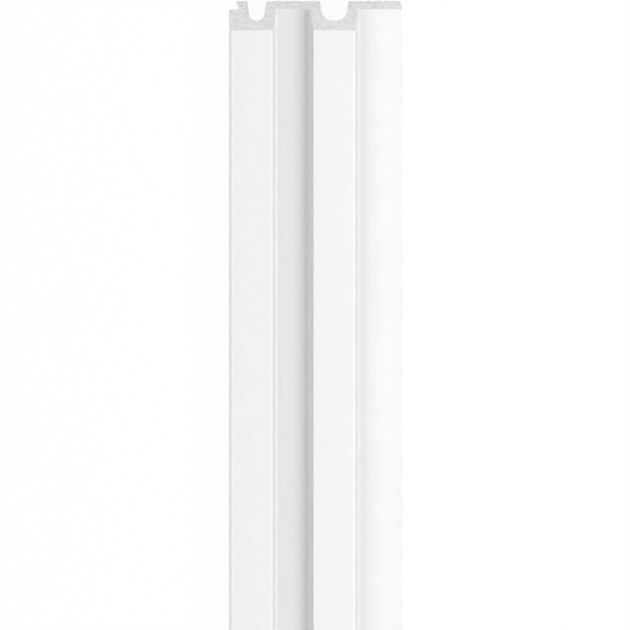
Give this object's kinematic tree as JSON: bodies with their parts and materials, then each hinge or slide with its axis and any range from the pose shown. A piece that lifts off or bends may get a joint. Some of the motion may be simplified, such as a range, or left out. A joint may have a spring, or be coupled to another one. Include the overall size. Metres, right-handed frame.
{
  "type": "slatted wall panel",
  "caption": "Long extruded wall panel with raised slats, tapered channels in its back, and a tongue edge that laps under the lip of the panel beside it.",
  "frame": {"origin": "centre of the panel's box, on the plane of its flat back", "axes": "+X across the panel towards the tongue, +Y along its length, +Z out of the slat faces"},
  "size_m": [0.1221, 2.65, 0.021],
  "materials": {
    "panel": "white foamed polystyrene with a smooth satin skin and fine-celled cut ends"
  },
  "bodies": {
    "root": {"wall_panel": "panel"}
  },
  "joints": []
}
